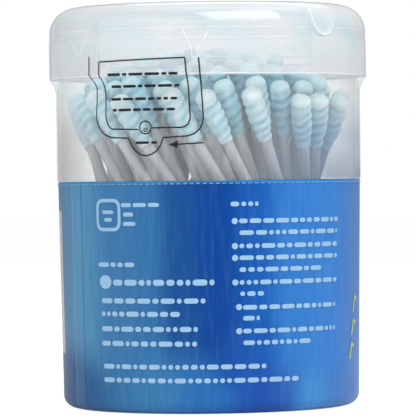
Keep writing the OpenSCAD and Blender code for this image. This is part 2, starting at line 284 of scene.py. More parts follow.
def turned(name, rings, steps, material):
    """Turns rings of (height, radius by angle from the front) about Z into a smooth sheet. Its UV
    gives that angle as a share of a turn from the back, and the height in tenths of a metre."""
    around = np.linspace(-180, 180, steps, endpoint=False)
    points, faces, uvs = [], [], []
    for z, radius in rings:
        for angle in around:
            r, a = radius(angle), math.radians(angle)
            up = z(angle) if callable(z) else z
            points.append((r * math.sin(a), -r * math.cos(a), up))
    for i in range(len(rings) - 1):
        for j in range(steps):
            k = (j + 1) % steps
            faces.append((i * steps + j, i * steps + k, (i + 1) * steps + k, (i + 1) * steps + j))
            u = (j / steps, (j + 1) / steps)
            v = (points[i * steps + j][2] * 10, points[(i + 1) * steps + j][2] * 10)
            uvs.extend(((u[0], v[0]), (u[1], v[0]), (u[1], v[1]), (u[0], v[1])))
    mesh = bpy.data.meshes.new(name)
    mesh.from_pydata(points, [], faces)
    layer = mesh.uv_layers.new(name="UVMap")
    layer.data.foreach_set("uv", np.array(uvs, np.float32).ravel())
    mesh.polygons.foreach_set("use_smooth", [True] * len(faces))
    mesh.materials.append(material)
    piece = bpy.data.objects.new(name, mesh)
    bpy.context.scene.collection.objects.link(piece)
    return piece


def unrolled(tree):
    """A turned sheet's UV, the share of a turn and height in it, and the angle from the front."""
    uv = tree.nodes.new("ShaderNodeUVMap")
    uv.uv_map = "UVMap"
    split = tree.nodes.new("ShaderNodeSeparateXYZ")
    tree.links.new(uv.outputs["UV"], split.inputs[0])
    angle = past(tree, split.outputs["X"], 0.5, 360, False)
    return uv.outputs["UV"], split.outputs["X"], split.outputs["Y"], angle


def film_radius(z):
    """Radius of the upper film's middle surface at a height."""
    t = min(1, max(0, (z - LID_EDGE + DRAW) / DRAW))
    return TUB_FILM + (LID_FILM - TUB_FILM) * t ** 2.75


def film_ring(z):
    """One ring of the upper film, with its pleats and the slack of a shrunk sheet."""
    pleat = math.exp(-(((z - PLEAT_Z) / PLEAT_SPREAD) ** 2))
    slack = SLACK_LOW if z < LID_EDGE else SLACK_HIGH

    def radius(angle):
        fold = noise.noise(Vector((angle * 0.55, z * 60, 3)))
        wave = noise.noise(Vector((angle * 0.09, z * 90, 9)))
        return film_radius(z) + pleat * PLEAT_DEPTH * fold + slack * (0.6 + wave)

    return radius


def top_edge(angle):
    """Height of the upper film's cut edge, which waves a little."""
    return FILM_TOP - 0.0001 + 0.0001 * noise.noise(Vector((angle * 0.2, 0, 0)))


clear_film, tree, shader = finish_of("clear shrunk film", FILM_CLEAR, 0.08, Specular_IOR_Level=1.0)
add_bump(tree, shader, 0.1, 0.0005, Coarse=45, Fine=420, Fine_share=0.2)
level, _, _ = level_of(tree)
uv, _, _, angle = unrolled(tree)
haze = past(tree, noise_of(tree, 1, 4, uv, (130, 9, 1)), 0.42, 0.9)
# The blue tint low on the far right is a painted refraction of the printed film.
foot = math_of(tree, "DIVIDE", math_of(tree, "SUBTRACT", REFRACTION_TOP, level), REFRACTION_FADE, clamp=True)
blue_refraction = math_of(tree, "MULTIPLY", between(tree, angle, *REFRACTION_SIDE), foot)
# The warm and cool tints low on the film are painted reflections.
low = math_of(tree, "DIVIDE", math_of(tree, "SUBTRACT", REFLECTION_TOP, level), REFLECTION_FADE, clamp=True)
warm_reflection = math_of(tree, "MULTIPLY", between(tree, angle, *WARM_REFLECTION_SIDE), low)
cool_reflection = math_of(tree, "MULTIPLY", between(tree, angle, *COOL_REFLECTION_SIDE), low)
tone = mix_of(tree, cool_reflection, mix_of(tree, warm_reflection, FILM_CLEAR, FILM_WARM_REFLECTION), FILM_COOL_REFLECTION)
tree.links.new(mix_of(tree, blue_refraction, tone, FILM_BLUE_REFRACTION), shader.inputs["Base Color"])
add_cover(tree, shader, *FILM_COVER, haze, line_at(tree, level, FILM_TOP * 1000 - 0.1, 0.25, 0.45),
          math_of(tree, "MULTIPLY", blue_refraction, REFRACTION_SHARE), math_of(tree, "MULTIPLY", warm_reflection, WARM_REFLECTION_SHARE),
          math_of(tree, "MULTIPLY", cool_reflection, COOL_REFLECTION_SHARE))
heights = [FILM_FOOT + (FILM_TOP - FILM_FOOT) * i / FILM_RINGS for i in range(FILM_RINGS + 1)]
rings = [(z, film_ring(z)) for z in heights[:-1]] + [(top_edge, film_ring(FILM_TOP))]
upper_film = turned("clear_film_sheet", rings, SHEET_STEPS, clear_film)
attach(upper_film, "lid")
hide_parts("clear_film")

# Printed lower film: tight on the tub, turned in under its bottom corner, with the overlap of the
# film's own edges standing out a little at the left. Its blue shifts from petrol at the left to a
# deep blue in front and a brighter one at the right, and a plain pale field lies on its left side.
FOOT_R, CORNER, CORNER_Z, SIDE_TOP, TAPER_TOP = 0.03245, 0.0025, 0.00273, span("tub")[1][0], 0.052
ARC_START, ARC_STEP, ARC_RINGS, SIDE_FOOT, SIDE_RINGS = -80, 8, 11, 0.004, 48
FILM_SEAT, LABEL_SLACK = 0.00002 + HALF_FILM, 0.00002
SEAM, SEAM_RISE = (-63.2, -56.3), 0.00008
SEAM_HIGHLIGHT_AND_DARK_EDGE = ((SEAM[0], (150, 178, 200), 0.5), (SEAM[1], (44, 74, 116), 0.6))
BLUES_FADE, TOP_LINE = (4.0, 17.0), (49.15, 49.8, 0.15)
SHADE_SIDE, SHADE_LEVELS = (6, 33, 8), (-20, 28, 9)
FIELD_SIDE, FIELD_LEVELS = (-118, -76.5, 1.2), (12, 43.5, 0.4)
INK_BLUE, STREAK_PALE, STREAK_DARK = (22, 76, 152), (150, 200, 236), (8, 40, 110)
SEAM_BLUE, SHADE_BLUE, FIELD_PALE, TOP_BLUE = (116, 156, 186), (26, 76, 160), (206, 204, 200), (44, 138, 200)
UPPER_BLUES = (
    (0.0, (34, 100, 172)), (0.2, (60, 110, 164)), (0.25, (84, 114, 150)), (0.345, (80, 138, 176)),
    (0.395, (58, 114, 163)), (0.435, (46, 106, 158)), (0.465, (18, 74, 138)), (0.51, (2, 62, 140)),
    (0.55, (18, 86, 168)), (0.585, (48, 116, 190)), (0.64, (56, 122, 198)), (0.7, (70, 120, 188)),
    (0.8, (60, 114, 182)), (1.0, (34, 100, 172)))
LOWER_BLUES = (
    (0.0, (34, 100, 172)), (0.2, (48, 90, 142)), (0.25, (62, 86, 122)), (0.325, (40, 84, 132)),
    (0.435, (54, 116, 164)), (0.5, (36, 102, 168)), (0.55, (30, 76, 158)), (0.58, (42, 90, 166)),
    (0.61, (66, 134, 196)), (0.675, (66, 116, 184)), (0.76, (86, 126, 180)), (1.0, (34, 100, 172)))


def label_radius(z):
    """Radius of the printed film's middle surface at a height on the tub's tapered side."""
    return FOOT_R + (SIDE_TOP - FOOT_R) * (z - CORNER_Z) / (TAPER_TOP - CORNER_Z) + FILM_SEAT


def label_ring(z, base):
    """One ring of the printed film, with the rise of its seam and the slack of a shrunk sheet."""
    def radius(angle):
        seam = SEAM_RISE if SEAM[0] < angle < SEAM[1] else 0
        return base + seam + LABEL_SLACK * noise.noise(Vector((angle * 0.12, z * 70, 5)))

    return radius


def ramp_of(tree, value, stops):
    """A colour ramp with stops of (position, screen colour)."""
    ramp = tree.nodes.new("ShaderNodeValToRGB")
    ramp.color_ramp.interpolation = "EASE"
    while len(ramp.color_ramp.elements) < len(stops):
        ramp.color_ramp.elements.new(0.5)
    for element, (position, colour) in zip(ramp.color_ramp.elements, stops):
        element.position = position
        element.color = (*linear(*colour), 1)
    tree.links.new(value, ramp.inputs["Fac"])
    return ramp.outputs["Color"]


rings = []
for step in range(ARC_RINGS):
    a = math.radians(ARC_START + ARC_STEP * step)
    bend = CORNER + FILM_SEAT
    rings.append((CORNER_Z + bend * math.sin(a), FOOT_R - CORNER + bend * math.cos(a)))
rings += [(z, label_radius(z)) for z in np.linspace(SIDE_FOOT, TEAR, SIDE_RINGS)]
rings = [(z, label_ring(z, r)) for z, r in rings]

printed, tree, shader = finish_of("printed shrunk film", INK_BLUE, 0.35, Specular_IOR_Level=0.1)
uv, share, height, angle = unrolled(tree)
level = math_of(tree, "MULTIPLY", height, 100)
upper, lower = ramp_of(tree, share, UPPER_BLUES), ramp_of(tree, share, LOWER_BLUES)
clouds = noise_of(tree, 38, 3)
drift = math_of(tree, "ADD", level, past(tree, clouds, 0.5, 26, False))
fade = tree.nodes.new("ShaderNodeMapRange")
fade.interpolation_type = "SMOOTHSTEP"
for socket, value in zip(("From Min", "From Max"), BLUES_FADE):
    fade.inputs[socket].default_value = value
tree.links.new(drift, fade.inputs["Value"])
blue = mix_of(tree, fade.outputs["Result"], lower, upper)
streaks = noise_of(tree, 1, 5, uv, (230, 9, 1))
pale, dark = past(tree, streaks, 0.5, 0.22), past(tree, streaks, 0.5, -0.5)
blue = mix_of(tree, dark, mix_of(tree, pale, blue, STREAK_PALE), STREAK_DARK)
seam_strip = between(tree, angle, SEAM[0], SEAM[1], 0.3)
blue = mix_of(tree, math_of(tree, "MULTIPLY", seam_strip, 0.14), blue, SEAM_BLUE)
# The overlap's left edge gets a painted highlight line, and its right edge a dark line.
for edge, tone, width in SEAM_HIGHLIGHT_AND_DARK_EDGE:
    line = between(tree, angle, edge - width / 2, edge + width / 2, 0.2)
    blue = mix_of(tree, math_of(tree, "MULTIPLY", line, 0.7), blue, tone)
wobble = past(tree, clouds, 0.5, 60, False)
cloud = math_of(tree, "MULTIPLY", between(tree, math_of(tree, "ADD", angle, wobble), *SHADE_SIDE),
                between(tree, math_of(tree, "ADD", level, wobble), *SHADE_LEVELS))
blue = mix_of(tree, math_of(tree, "MULTIPLY", cloud, 0.55), blue, SHADE_BLUE)
field = math_of(tree, "MULTIPLY", between(tree, angle, *FIELD_SIDE), between(tree, level, *FIELD_LEVELS))
blue = mix_of(tree, math_of(tree, "MULTIPLY", field, 0.78), blue, FIELD_PALE)
top_line = between(tree, level, *TOP_LINE)
blue = mix_of(tree, math_of(tree, "MULTIPLY", top_line, 0.8), blue, TOP_BLUE)
tree.links.new(blue, shader.inputs["Base Color"])
add_bump(tree, shader, 0.1, 0.0005, Coarse=40, Fine=500, Fine_share=0.2)
lower_film = turned("printed_film_sheet", rings, SHEET_STEPS, printed)
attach(lower_film, "tub")
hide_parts("printed_film")

# White print on the lower film: rows of plain bars where the real label has words, a plain square
# outline for its square mark, a disc, and round bullets. A row is (from, to, level, height), in
# degrees from the front and mm. MM is how many mm of film one degree takes.
WHITE_INK, BAR_SHARE, DECAL_RISE = (146, 184, 214), 0.58, 0.0001
WORD_WIDTHS, WORD_GAP, WORD_LEAST = (1.1, 1.5, 1.9, 2.6, 3.2), 0.42, 0.6
LABEL_R = 33.4
MM = math.pi * LABEL_R / 180
LEFT_ROWS = ((-34.5, -18, 44.6, 1.5), (-33.6, -28, 42.6, 1.5), (-33.7, -26.8, 40.6, 1.5),
             (-46.2, -29.1, 31.9, 1.7), (-38.9, 2.7, 28.1, 2.2), (-44.8, -1.1, 24.2, 1.9),
             (-44.9, -11.4, 21.4, 1.9), (-45, -4.8, 18.2, 1.9), (-45.1, -4.9, 15.1, 1.9),
             (-44.5, 21.3, 10.2, 1.8), (-44.5, 34.6, 7.3, 1.8))
RIGHT_ROWS = ((7.7, 18.2, 44.6, 1.7), (10.8, 56.5, 41, 1.7), (10.9, 55.7, 38.5, 1.7), (10.8, 55.6, 35.7, 1.7),
              (10.8, 55.5, 33.2, 1.7), (10.8, 46.2, 30.7, 1.7), (10.8, 55.3, 28, 1.7), (11, 20.1, 25.6, 1.7),
              (12, 54.4, 22.7, 1.7), (12, 18.4, 20.4, 1.7), (12, 54.2, 17.7, 1.7), (12, 40.5, 15.2, 1.7))
BULLETS = ((9.2, 41), (9.2, 35.7), (9.2, 33.2), (9.2, 28), (10.5, 22.8), (10.5, 17.7))
BULLET_W, DISC, MARK = 1.35, (-42.7, 28.2, 3.5, 2.9), (-40.7, 42.5, 6.2, 6.2)
MARK_LINE, MARK_CORNER, MARK_BARS = 0.75, 0.45, ((-40.7, 43.1, 3.2, 0.8), (-40.7, 41.5, 2.2, 0.8))


def decals(name, shapes, radius, material, body):
    """Thin shapes laid on a film. Each is an outline of (angle from the front, height in mm), and
    radius gives how far out the film lies at a height."""
    mesh = bmesh.new()
    for shape in shapes:
        ring = []
        for angle, level in shape:
            a, r = math.radians(angle), radius(level / 1000)
            ring.append(mesh.verts.new((r * math.sin(a), -r * math.cos(a), level / 1000)))
        if len(ring) > 3:
            middle = sum((v.co for v in ring), Vector()) / len(ring)
            out = Vector((middle.x, middle.y, 0)).normalized() * radius(middle.z)
            hub = mesh.verts.new((out.x, out.y, middle.z))
            for i, corner in enumerate(ring):
                mesh.faces.new((hub, ring[i - 1], corner))
        else:
            mesh.faces.new(ring)
    bmesh.ops.recalc_face_normals(mesh, faces=mesh.faces)
    data = bpy.data.meshes.new(name)
    mesh.to_mesh(data)
    mesh.free()
    data.materials.append(material)
    piece = bpy.data.objects.new(name, data)
    bpy.context.scene.collection.objects.link(piece)
    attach(piece, body)
    return piece


def bar(angle, level, width, height, mm_per_degree, corner=1.0):
    """Outline of a bar with round ends. Width and height are in mm."""
    r = min(width, height) / 2 * corner
    outline = []
    for cx, cz, start in ((1, 1, 0), (-1, 1, 90), (-1, -1, 180), (1, -1, 270)):
        for turn in (0, 30, 60, 90):
            a = math.radians(start + turn)
            outline.append((angle + (cx * (width / 2 - r) + r * math.cos(a)) / mm_per_degree,
                            level + cz * (height / 2 - r) + r * math.sin(a)))
    return outline


def words(rows, height_share, seed, mm_per_degree):
    """Rows of plain bars of word length, which stand for print."""
    pick, shapes = random.Random(seed), []
    for start, end, level, height in rows:
        at, stop = start * mm_per_degree, end * mm_per_degree
        while at < stop - WORD_LEAST:
            width = min(pick.choice(WORD_WIDTHS), stop - at)
            middle = (at + width / 2) / mm_per_degree
            shapes.append(bar(middle, level, width, height * height_share, mm_per_degree))
            at += width + WORD_GAP
    return shapes


def ribbon(path, width, mm_per_degree):
    """Quads along a path of (angle, level), as wide as a printed line."""
    dense = []
    for (a0, z0), (a1, z1) in zip(path, path[1:]):
        steps = max(1, round(math.hypot((a1 - a0) * mm_per_degree, z1 - z0) / 0.5))
        dense += [(a0 + (a1 - a0) * s / steps, z0 + (z1 - z0) * s / steps) for s in range(steps)]
    dense.append(path[-1])
    sides = []
    for i, (a, z) in enumerate(dense):
        before, after = dense[max(0, i - 1)], dense[min(len(dense) - 1, i + 1)]
        along = Vector(((after[0] - before[0]) * mm_per_degree, after[1] - before[1]))
        along = along.normalized() * width / 2
        sides.append(((a - along.y / mm_per_degree, z + along.x), (a + along.y / mm_per_degree, z - along.x)))
    return [(sides[i][0], sides[i][1], sides[i + 1][1], sides[i + 1][0]) for i in range(len(sides) - 1)]


def print_ink(name, colour):
    """A flat print ink, a little uneven."""
    ink, tree, shader = finish_of(name, colour, 0.5, Specular_IOR_Level=0.2)
    add_bump(tree, shader, 0.05, 0.0005)
    return ink


def on_label(z):
    """Radius at which print lies on the printed film."""
    return label_radius(z) + DECAL_RISE


shapes = words(LEFT_ROWS, BAR_SHARE, 11, MM) + words(RIGHT_ROWS, BAR_SHARE, 23, MM)
shapes += [bar(a, z, BULLET_W, BULLET_W, MM) for a, z in BULLETS] + [bar(*DISC, MM)]
mark = bar(*MARK, MM, MARK_CORNER)
shapes += ribbon(mark + mark[:1], MARK_LINE, MM) + [bar(*inside, MM) for inside in MARK_BARS]
white_print = decals("white_print", shapes, on_label, print_ink("white print", WHITE_INK), "tub")

# Slanted strokes in yellow-green at the right: the near edge of the print that goes on round the
# tub, as plain marks.
LIME_INK, STROKE_W, STROKE = (204, 222, 60), 0.5, ((0, 0), (2.2, 3.4), (4.6, 2.6))
STROKES = ((66.5, 10.5), (68.4, 15.6), (70.2, 20.7))
strokes = []
for a, z in STROKES:
    strokes += ribbon([(a + across, z + up) for across, up in STROKE], STROKE_W, MM)
lime_print = decals("yellow_green_print", strokes, on_label, print_ink("yellow-green print", LIME_INK), "tub")

# Dark pictogram on the upper film: the outline of the hatch with its push tab, the outlet's ledge
# with its round catch, an arrow, and plain bars where the real film has words.
DARK_INK, LINE_W, CATCH_W, PEG_W, NOTE_SHARE, INK_RISE = (34, 26, 30), 0.3, 0.28, 0.2, 0.36, 0.00014
CATCH, CATCH_Z, CATCH_R, PEG_Z, PEG_R = -23.45, 61.0, 1.35, 60.45, 0.34
OUTER = ((-46.3, 76.3), (-46.4, 72.5), (-45.6, 71.4), (-44.7, 69.9), (-44.9, 66.5), (-45.4, 63.4),
         (-44.8, 61.9), (-43.2, 60.6), (-41, 59.6), (-37.9, 59), (-30.4, 58.8), (-29.2, 57.3),
         (-27.6, 56.1), (-25.6, 55.3), (-23.3, 55), (-21.2, 55.3), (-19.2, 56), (-17.6, 57.2),
         (-16.5, 58.8), (-7.5, 59.1), (-5, 59.6), (-3, 60.6), (-2, 61.9), (-1.8, 63.2), (-2.1, 66.6),
         (-2.5, 70.8), (-3.1, 75.6))
INNER = ((-26.2, 60.6), (-37.5, 60.8), (-38.8, 61.2), (-39.8, 62), (-40.5, 63.4), (-40.4, 68.5),
         (-41.1, 71.5), (-41.5, 72.4), (-41.4, 75.1), (-7.9, 75.6), (-7.2, 70.9), (-6.8, 66.7),
         (-6.5, 62.9), (-7.2, 61.7), (-8.4, 61.1), (-9.9, 60.9), (-20.9, 60.9))
ARROW_LINE, ARROW_HEAD = ((-11.4, 57.35), (-1.8, 57.6)), ((-14.7, 57.3), (-11.3, 56.55), (-11.2, 58.1))
NOTE_ROWS = ((-37.5, -9.6, 72.3, 1.6), (-37.5, -10.2, 69.8, 1.6), (-37.8, -11.1, 67.1, 1.6),
             (-37.2, -12, 64.8, 1.6), (-27.5, -18.9, 57.8, 1.5))


def ring_path(middle, level, radius, step):
    """A closed round path on the film. The radius is in mm."""
    turns = [math.radians(t) for t in range(0, 361, step)]
    return [(middle + radius * math.cos(t) / MM, level + radius * math.sin(t)) for t in turns]


shapes = ribbon(OUTER, LINE_W, MM) + ribbon(INNER, LINE_W, MM)
shapes += ribbon(ring_path(CATCH, CATCH_Z, CATCH_R, 20), CATCH_W, MM)
shapes += ribbon(ring_path(CATCH, PEG_Z, PEG_R, 30), PEG_W, MM)
shapes += ribbon(ARROW_LINE, LINE_W, MM) + [ARROW_HEAD] + words(NOTE_ROWS, NOTE_SHARE, 37, MM)
dark_ink = print_ink("dark print", DARK_INK)
pictogram = decals("pictogram", shapes, lambda z: film_radius(z) + INK_RISE, dark_ink, "lid")

# Creases of the shrunk film over the lid's front. They stand out a little, and thin pale lines of
# painted highlight stand for the light they catch.
CREASE_LIGHT, CREASE_W, CREASE_RISE = (248, 251, 252), 0.22, 0.00016
CREASES = (
    ((-8.6, 81.6), (-7.4, 80.2), (-5.9, 78.4), (-5.2, 77)),
    ((0.4, 81.2), (-1.2, 79.4), (-3, 77.6), (-3.7, 76.9)),
    ((-5.6, 77), (-5.3, 75.9), (-4.4, 75.4), (-3.4, 75.9), (-3.1, 77)),
    ((-57, 80.2), (-54, 78.2), (-52.5, 76.6)),
    ((-47.5, 80.4), (-50, 78.4), (-51.8, 76.8)))
crease_highlight, tree, shader = finish_of("crease light", CREASE_LIGHT, 0.4, Alpha=0.38)
add_bump(tree, shader, 0.05, 0.0005)
quads = [quad for path in CREASES for quad in ribbon(path, CREASE_W, MM)]
creases = decals("creases", quads, lambda z: film_radius(z) + CREASE_RISE, crease_highlight, "lid")

# Cotton heads: a blunt dome, then cotton wound in a slanting spiral of soft uneven rolls that
# narrows to the stick. An attribute keeps how deep a point lies between two rolls, less on the dome
# and towards the neck, for painted shade between the rolls and a painted highlight on the dome.
# Three templates are taken in turn, each copy with a spin of its own, so that the heads differ.
HEAD_R, HEAD_L, HEAD_FULL, NECK_R, PITCH, GROOVE = 0.0023, 0.0125, 0.0072, 0.0015, 0.00205, 0.00046
DOME, DOME_POWER, TAPER_POWER, STICK_SEAT = 0.002, 2.3, 1.2, 0.00122
HEAD_TEMPLATES, HEAD_SIDES = 3, 26
COTTON, OUTER_LIT_COTTON, OUTER_GROOVE_SHADE = (226, 243, 247), (228, 244, 247), (136, 202, 218)
INNER_SHADED_COTTON, INNER_GROOVE_SHADE, OUTER_R, SHADE_DEPTH = (184, 231, 240), (60, 174, 202), 0.0305, 0.007
GROOVE_SHADE_GAIN, PAINTED_SHADE_BASE, FIBRE_GAIN = 0.62, 0.33, 0.5


def template_of(name, rows, around, attribute=None):
    """A hidden template: rings of (height, radius by angle), closed at both ends. An attribute is
    its name and its value by height and angle."""
    turns = [2 * math.pi * j / around for j in range(around)]
    points = [(radius(a) * math.cos(a), radius(a) * math.sin(a), z) for z, radius in rows for a in turns]
    faces = []
    for i in range(len(rows) - 1):
        for j in range(around):
            k = (j + 1) % around
            faces.append((i * around + j, i * around + k, (i + 1) * around + k, (i + 1) * around + j))
    faces += [tuple(range(around))[::-1], tuple(range((len(rows) - 1) * around, len(rows) * around))]
    mesh = bpy.data.meshes.new(name)
    mesh.from_pydata(points, [], faces)
    if attribute:
        layer = mesh.attributes.new(attribute[0], "FLOAT", "POINT")
        layer.data.foreach_set("value", [attribute[1](z, a) for z, _ in rows for a in turns])
    return bpy.data.objects.new(name, mesh)


def wound(seed, s, a):
    """How deep between two rolls of the winding a point of a head lies, from 0 to about 1."""
    fade = min(1, max(0, (s - 0.0013) / 0.0012)) * min(1, max(0, (HEAD_L - 0.0003 - s) / 0.001))
    around = Vector((math.cos(a), math.sin(a), 0)) * 0.9
    wander = noise.noise(around + Vector((0, 0, s * 260 + seed * 9)))
    amount = noise.noise(around * 0.8 + Vector((0, 0, s * 420 + seed * 31)))
    return fade * (0.62 + 0.75 * amount) * (0.5 + 0.5 * math.cos(2 * math.pi * s / PITCH - a + 1.6 * wander))


def head_radius(seed, s):
    """Radius of a head by angle, at a distance from its tip."""
    if s < DOME:
        base = HEAD_R * (1 - (1 - s / DOME) ** DOME_POWER) ** (1 / DOME_POWER)
    elif s < HEAD_FULL:
        base = HEAD_R
    else:
        t = (s - HEAD_FULL) / (HEAD_L - HEAD_FULL)
        base = HEAD_R - (HEAD_R - NECK_R) * t ** TAPER_POWER
    return lambda a: max(0.00002, base - GROOVE * wound(seed, s, a))


def head_painted_shade(seed, s, a):
    """How much painted shade the head's colour takes: painted shade between two rolls, a painted highlight on
    the dome, and paler towards the neck.
    """
    return wound(seed, s, a) - 0.7 * max(0, 1 - s / 0.0034) - 0.6 * max(0, (s - 0.0088) / 0.0037)


levels = [0, 0.0001, 0.00035, 0.0007, 0.0012] + [0.0017 + (HEAD_L - 0.0017) * i / 32 for i in range(33)]
head_templates = []
for seed in range(HEAD_TEMPLATES):
    rows = [(s, head_radius(seed, s)) for s in levels] + [(HEAD_L + 0.0001, lambda a: STICK_SEAT)]
    attribute = ("groove", lambda s, a, seed=seed: head_painted_shade(seed, s, a))
    head_templates.append(template_of(f"head_template_{seed}", rows, HEAD_SIDES, attribute))
cotton, tree, shader = finish_of("wound cotton", COTTON, 0.95, Sheen_Weight=0.2, Sheen_Roughness=0.6)
groove = tree.nodes.new("ShaderNodeAttribute")
groove.attribute_name = "groove"
fibres = past(tree, noise_of(tree, 700, 6), 0.5, FIBRE_GAIN, False)
# Heads nearer the middle of the bundle sit in each other's shade, so they get a painted shade colour.
_, x, y = level_of(tree)
inward = math_of(tree, "SUBTRACT", OUTER_R, reach_of(tree, x, y))
inner = math_of(tree, "DIVIDE", inward, SHADE_DEPTH, clamp=True)
painted_shade_amount = math_of(tree, "ADD", math_of(tree, "MULTIPLY", groove.outputs["Fac"], GROOVE_SHADE_GAIN), PAINTED_SHADE_BASE)
painted_shade_amount = math_of(tree, "ADD", painted_shade_amount, fibres, clamp=True)
outer_lit, inner_shaded = mix_of(tree, painted_shade_amount, OUTER_LIT_COTTON, OUTER_GROOVE_SHADE), mix_of(tree, painted_shade_amount, INNER_SHADED_COTTON, INNER_GROOVE_SHADE)
tree.links.new(mix_of(tree, inner, outer_lit, inner_shaded), shader.inputs["Base Color"])
add_bump(tree, shader, 0.5, 0.0002, Coarse=900, Fine=3200, Fine_share=0.5)

# Paper sticks: white paper rolled tight, with a fine upright edge where the roll ends and faint
# streaks along the roll.
STICK_R, STICK_L, STICK_EDGE, STICK_SIDES, COVER = 0.0012, 0.0724, 0.00006, 20, 0.0018
PAPER, PAPER_DIM, PAPER_LIT = (238, 238, 240), (180, 183, 190), (224, 223, 222)
paper, tree, shader = finish_of("rolled paper", PAPER, 0.6)
streaks = noise_of(tree, 260, 4, None, (1, 1, 0.12))
tree.links.new(mix_of(tree, streaks, PAPER_DIM, PAPER_LIT), shader.inputs["Base Color"])
add_bump(tree, shader, 0.2, 0.0002, Coarse=500, Fine=2600, Fine_share=0.5)
rows = [(STICK_L * i / 12, lambda a: STICK_R - (STICK_EDGE if a < 0.3 else 0)) for i in range(13)]
stick_template = template_of("stick_template", rows, STICK_SIDES)

# Swabs standing in the tub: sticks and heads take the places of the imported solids. One node tree
# stands copies of a template on points. Each point carries its turn, and the copies get a small
# unevenness of their own.
TURN, STICK_ROUGH, HEAD_ROUGH = 6.28, (0.00008, 120), (0.0004, 300)
stand = bpy.data.node_groups.new("Stand copies", "GeometryNodeTree")
stand.interface.new_socket(name="Points", in_out="INPUT", socket_type="NodeSocketGeometry")
template_in = stand.interface.new_socket(name="Template", in_out="INPUT", socket_type="NodeSocketObject")
uneven_in = stand.interface.new_socket(name="Unevenness", in_out="INPUT", socket_type="NodeSocketFloat")
size_in = stand.interface.new_socket(name="Unevenness size", in_out="INPUT", socket_type="NodeSocketFloat")
finish_in = stand.interface.new_socket(name="Finish", in_out="INPUT", socket_type="NodeSocketMaterial")
stand.interface.new_socket(name="Copies", in_out="OUTPUT", socket_type="NodeSocketGeometry")
given, given_out = stand.nodes.new("NodeGroupInput"), stand.nodes.new("NodeGroupOutput")
info = stand.nodes.new("GeometryNodeObjectInfo")
turn = stand.nodes.new("GeometryNodeInputNamedAttribute")
turn.data_type = "FLOAT_VECTOR"
turn.inputs["Name"].default_value = "turn"
copies = stand.nodes.new("GeometryNodeInstanceOnPoints")
real = stand.nodes.new("GeometryNodeRealizeInstances")
where = stand.nodes.new("GeometryNodeInputPosition")
grain = stand.nodes.new("ShaderNodeTexNoise")
centred = stand.nodes.new("ShaderNodeVectorMath")
centred.operation = "SUBTRACT"
centred.inputs[1].default_value = (0.5, 0.5, 0.5)
scaled = stand.nodes.new("ShaderNodeVectorMath")
scaled.operation = "SCALE"
shift = stand.nodes.new("GeometryNodeSetPosition")
coat = stand.nodes.new("GeometryNodeSetMaterial")
stand.links.new(given.outputs["Points"], copies.inputs["Points"])
stand.links.new(given.outputs["Template"], info.inputs["Object"])
stand.links.new(info.outputs["Geometry"], copies.inputs["Instance"])
stand.links.new(turn.outputs["Attribute"], copies.inputs["Rotation"])
stand.links.new(copies.outputs["Instances"], real.inputs["Geometry"])
stand.links.new(where.outputs["Position"], grain.inputs["Vector"])
stand.links.new(given.outputs["Unevenness size"], grain.inputs["Scale"])
stand.links.new(grain.outputs["Color"], centred.inputs[0])
stand.links.new(centred.outputs["Vector"], scaled.inputs[0])
stand.links.new(given.outputs["Unevenness"], scaled.inputs["Scale"])
stand.links.new(real.outputs["Geometry"], shift.inputs["Geometry"])
stand.links.new(scaled.outputs["Vector"], shift.inputs["Offset"])
stand.links.new(shift.outputs["Geometry"], coat.inputs["Geometry"])
stand.links.new(given.outputs["Finish"], coat.inputs["Material"])
stand.links.new(coat.outputs["Geometry"], given_out.inputs["Copies"])


def stand_copies(name, spots, templates, rough, material, body):
    """Copies of templates, taken in turn, at spots of (point, direction of its Z, spin), as one mesh.
    Rough is (unevenness, unevenness size)."""
    joined = bmesh.new()
    for share, template in enumerate(templates):
        points = bpy.data.meshes.new(name + "_points")
        chosen = spots[share::len(templates)]
        points.from_pydata([tuple(p) for p, _, _ in chosen], [], [])
        turns = points.attributes.new("turn", "FLOAT_VECTOR", "POINT")
        for i, (_, way, spin) in enumerate(chosen):
            turn = way.to_track_quat("Z", "Y") @ Quaternion((0, 0, 1), spin)
            turns.data[i].vector = turn.to_euler()
        maker = bpy.data.objects.new(name + "_points", points)
        bpy.context.scene.collection.objects.link(maker)
        modifier = maker.modifiers.new("stand", "NODES")
        modifier.node_group = stand
        modifier[template_in.identifier] = template
        modifier[uneven_in.identifier], modifier[size_in.identifier] = rough
        modifier[finish_in.identifier] = material
        graph = bpy.context.evaluated_depsgraph_get()
        mesh = bpy.data.meshes.new_from_object(maker.evaluated_get(graph), depsgraph=graph)
        bpy.data.objects.remove(maker)
        joined.from_mesh(mesh)
    joined.to_mesh(mesh)
    joined.free()
    mesh.name = name
    mesh.polygons.foreach_set("use_smooth", [True] * len(mesh.polygons))
    piece = bpy.data.objects.new(name, mesh)
    bpy.context.scene.collection.objects.link(piece)
    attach(piece, body)
    return piece


def stick_ends(node):
    """Lower and upper end of each paper stick in a CAD node. The corners stay in the mesh's order,
    so that every run finds the sticks in the same order."""
    shell = bmesh.new()
    shell.from_mesh(node.data)
    bmesh.ops.remove_doubles(shell, verts=shell.verts, dist=1e-6)
    left, ends = dict.fromkeys(shell.verts), []
    while left:
        found, front = [], [left.popitem()[0]]
        while front:
            corner = front.pop()
            found.append(corner.co.copy())
            for edge in corner.link_edges:
                other = edge.other_vert(corner)
                if other in left:
                    del left[other]
                    front.append(other)
        middle = sum(p.z for p in found) / len(found)
        low = [p for p in found if p.z < middle]
        high = [p for p in found if p.z >= middle]
        ends.append((sum(low, Vector()) / len(low), sum(high, Vector()) / len(high)))
    shell.free()
    return ends


